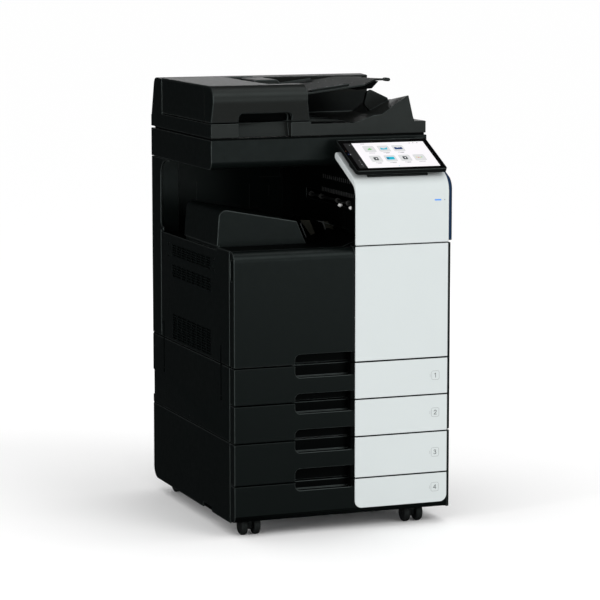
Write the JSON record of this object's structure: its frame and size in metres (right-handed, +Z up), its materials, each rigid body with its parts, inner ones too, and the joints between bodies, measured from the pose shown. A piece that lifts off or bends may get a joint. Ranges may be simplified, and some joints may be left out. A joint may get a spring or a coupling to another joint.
{
  "type": "office copier",
  "caption": "Floor-standing A3 copier on casters with paper trays, side doors, an output bay in the body, a scanner with a document feeder and a tilting touch panel.",
  "frame": {"origin": "on the floor under the middle of the copier's bounding box", "axes": "+Z up, the front with the trays and the touch panel faces -Y, +X to the viewer's right, where the bypass tray is"},
  "size_m": [0.635, 0.716, 1.195],
  "materials": {
    "black_cover": "fine-grained moulded charcoal black",
    "feeder_cover": "fine-grained moulded dark grey",
    "bay_black": "matt black inner moulding",
    "white_cover": "satin cool white moulding",
    "frame_steel": "galvanised sheet steel",
    "hinge_metal": "black painted steel",
    "tray_grey": "grey moulded paper tray",
    "caster_plastic": "black nylon",
    "caster_tread": "dark tread on a black hub",
    "roller_rubber": "grey rubber",
    "roller_white": "white acetal rollers on a dark shaft",
    "toner_yellow": "moulded yellow cap",
    "toner_magenta": "moulded magenta cap",
    "toner_cyan": "moulded cyan cap",
    "toner_black": "moulded black cap",
    "platen_glass": "clear float glass",
    "pad_white": "white foam-backed sheet",
    "panel_gloss": "satin black housing",
    "screen_glass": "black cover glass over a lit display"
  },
  "bodies": {
    "root": {"cabinet_frame": "frame_steel", "cabinet_left_cover": "black_cover", "cabinet_rear_cover": "black_cover", "cabinet_right_cover": "black_cover", "main_frame": "frame_steel", "toner_cartridge_yellow": "toner_yellow", "toner_cartridge_magenta": "toner_magenta", "toner_cartridge_cyan": "toner_cyan", "toner_cartridge_black": "toner_black", "left_lower_cover": "black_cover", "left_upper_cover": "black_cover", "rear_column": "black_cover", "rear_cover": "black_cover", "right_cover": "black_cover", "output_tray": "bay_black", "output_tray_block": "black_cover", "neck_panel": "white_cover", "exit_tower": "bay_black", "right_upper_cover": "black_cover", "scanner_housing": "black_cover", "platen_glass": "platen_glass", "adf_hinge_left": "hinge_metal", "adf_hinge_right": "hinge_metal"},
    "tray_1": {"tray_1_box": "tray_grey", "tray_1_front": "black_cover", "tray_1_white_panel": "white_cover"},
    "tray_2": {"tray_2_box": "tray_grey", "tray_2_front": "black_cover", "tray_2_white_panel": "white_cover"},
    "tray_3": {"tray_3_box": "tray_grey", "tray_3_front": "black_cover", "tray_3_white_panel": "white_cover"},
    "tray_4": {"tray_4_box": "tray_grey", "tray_4_front": "black_cover", "tray_4_white_panel": "white_cover"},
    "front_door": {"front_door": "black_cover", "front_door_white_panel": "white_cover"},
    "right_door": {"right_door": "black_cover"},
    "bypass_tray": {"bypass_tray": "feeder_cover"},
    "lower_right_door": {"lower_right_door": "black_cover"},
    "cabinet_right_door": {"cabinet_right_door": "black_cover"},
    "exit_roller": {"exit_roller": "roller_white"},
    "scan_carriage": {"scan_carriage": "bay_black"},
    "feeder": {"adf_base": "feeder_cover", "adf_pad": "pad_white"},
    "feeder_cover": {"adf_cover": "feeder_cover"},
    "feed_roller": {"adf_feed_roller": "roller_rubber"},
    "feed_tray": {"adf_feed_tray": "feeder_cover"},
    "guide_front": {"document_guide_front": "feeder_cover"},
    "guide_rear": {"document_guide_rear": "feeder_cover"},
    "control_panel": {"control_panel": "panel_gloss", "touch_screen": "screen_glass"},
    "caster_front_left": {"caster_fork_front_left": "caster_plastic"},
    "wheels_front_left": {"caster_wheels_front_left": "caster_tread"},
    "caster_front_right": {"caster_fork_front_right": "caster_plastic"},
    "wheels_front_right": {"caster_wheels_front_right": "caster_tread"},
    "caster_rear_left": {"caster_fork_rear_left": "caster_plastic"},
    "wheels_rear_left": {"caster_wheels_rear_left": "caster_tread"},
    "caster_rear_right": {"caster_fork_rear_right": "caster_plastic"},
    "wheels_rear_right": {"caster_wheels_rear_right": "caster_tread"}
  },
  "joints": [
    {"name": "tray_1_slide", "type": "slide", "parent": "root", "child": "tray_1", "axis": [0, -1, 0], "range_m": [0, 0.44]},
    {"name": "tray_2_slide", "type": "slide", "parent": "root", "child": "tray_2", "axis": [0, -1, 0], "range_m": [0, 0.44]},
    {"name": "tray_3_slide", "type": "slide", "parent": "root", "child": "tray_3", "axis": [0, -1, 0], "range_m": [0, 0.44]},
    {"name": "tray_4_slide", "type": "slide", "parent": "root", "child": "tray_4", "axis": [0, -1, 0], "range_m": [0, 0.44]},
    {"name": "front_door_hinge", "type": "hinge", "parent": "root", "child": "front_door", "pos_m": [0.294, -0.349, 0.612], "axis": [0, 0, 1], "range_deg": [0, 95]},
    {"name": "right_door_hinge", "type": "hinge", "parent": "root", "child": "right_door", "pos_m": [0.31, 0.283, 0.612], "axis": [0, 0, 1], "range_deg": [0, 60]},
    {"name": "bypass_tray_hinge", "type": "hinge", "parent": "right_door", "child": "bypass_tray", "pos_m": [0.312, 0.02, 0.562], "axis": [0, 1, 0], "range_deg": [0, 75]},
    {"name": "lower_right_door_hinge", "type": "hinge", "parent": "root", "child": "lower_right_door", "pos_m": [0.31, 0.283, 0.36], "axis": [0, 0, 1], "range_deg": [0, 60]},
    {"name": "cabinet_right_door_hinge", "type": "hinge", "parent": "root", "child": "cabinet_right_door", "pos_m": [0.31, 0.283, 0.157], "axis": [0, 0, 1], "range_deg": [0, 60]},
    {"name": "exit_roller_spin", "type": "hinge", "parent": "root", "child": "exit_roller", "pos_m": [0.0665, -0.06, 0.868], "axis": [0, 1, 0], "continuous": true},
    {"name": "scan_carriage_slide", "type": "slide", "parent": "root", "child": "scan_carriage", "axis": [1, 0, 0], "range_m": [0, 0.5]},
    {"name": "feeder_lift", "type": "hinge", "parent": "root", "child": "feeder", "pos_m": [0, 0.345, 1.058], "axis": [-1, 0, 0], "range_deg": [0, 60]},
    {"name": "feeder_cover_hinge", "type": "hinge", "parent": "feeder", "child": "feeder_cover", "pos_m": [-0.31, 0.04, 1.104], "axis": [0, -1, 0], "range_deg": [0, 70]},
    {"name": "feed_roller_spin", "type": "hinge", "parent": "feeder", "child": "feed_roller", "pos_m": [-0.078, 0.06, 1.152], "axis": [0, 1, 0], "continuous": true},
    {"name": "feed_tray_hinge", "type": "hinge", "parent": "feeder", "child": "feed_tray", "pos_m": [-0.034, 0.06, 1.157], "axis": [0, -1, 0], "range_deg": [0, 25]},
    {"name": "guide_front_slide", "type": "slide", "parent": "feed_tray", "child": "guide_front", "axis": [0, 1, 0], "range_m": [0, 0.1]},
    {"name": "guide_rear_slide", "type": "slide", "parent": "feed_tray", "child": "guide_rear", "axis": [0, -1, 0], "range_m": [0, 0.1]},
    {"name": "control_panel_tilt", "type": "hinge", "parent": "root", "child": "control_panel", "pos_m": [0, -0.346, 0.957], "axis": [1, 0, 0], "range_deg": [0, 60]},
    {"name": "caster_front_left_swivel", "type": "hinge", "parent": "root", "child": "caster_front_left", "pos_m": [-0.261, -0.285, 0.05], "axis": [0, 0, 1], "continuous": true},
    {"name": "wheels_front_left_roll", "type": "hinge", "parent": "caster_front_left", "child": "wheels_front_left", "pos_m": [-0.261, -0.303, 0.025], "axis": [1, 0, 0], "continuous": true},
    {"name": "caster_front_right_swivel", "type": "hinge", "parent": "root", "child": "caster_front_right", "pos_m": [0.21, -0.285, 0.05], "axis": [0, 0, 1], "continuous": true},
    {"name": "wheels_front_right_roll", "type": "hinge", "parent": "caster_front_right", "child": "wheels_front_right", "pos_m": [0.21, -0.303, 0.025], "axis": [1, 0, 0], "continuous": true},
    {"name": "caster_rear_left_swivel", "type": "hinge", "parent": "root", "child": "caster_rear_left", "pos_m": [-0.253, 0.3, 0.05], "axis": [0, 0, 1], "continuous": true},
    {"name": "wheels_rear_left_roll", "type": "hinge", "parent": "caster_rear_left", "child": "wheels_rear_left", "pos_m": [-0.253, 0.282, 0.025], "axis": [1, 0, 0], "continuous": true},
    {"name": "caster_rear_right_swivel", "type": "hinge", "parent": "root", "child": "caster_rear_right", "pos_m": [0.21, 0.3, 0.05], "axis": [0, 0, 1], "continuous": true},
    {"name": "wheels_rear_right_roll", "type": "hinge", "parent": "caster_rear_right", "child": "wheels_rear_right", "pos_m": [0.21, 0.282, 0.025], "axis": [1, 0, 0], "continuous": true}
  ],
  "couplings": [
    {"joint": "guide_rear_slide", "follows": "guide_front_slide", "ratio": 1}
  ]
}
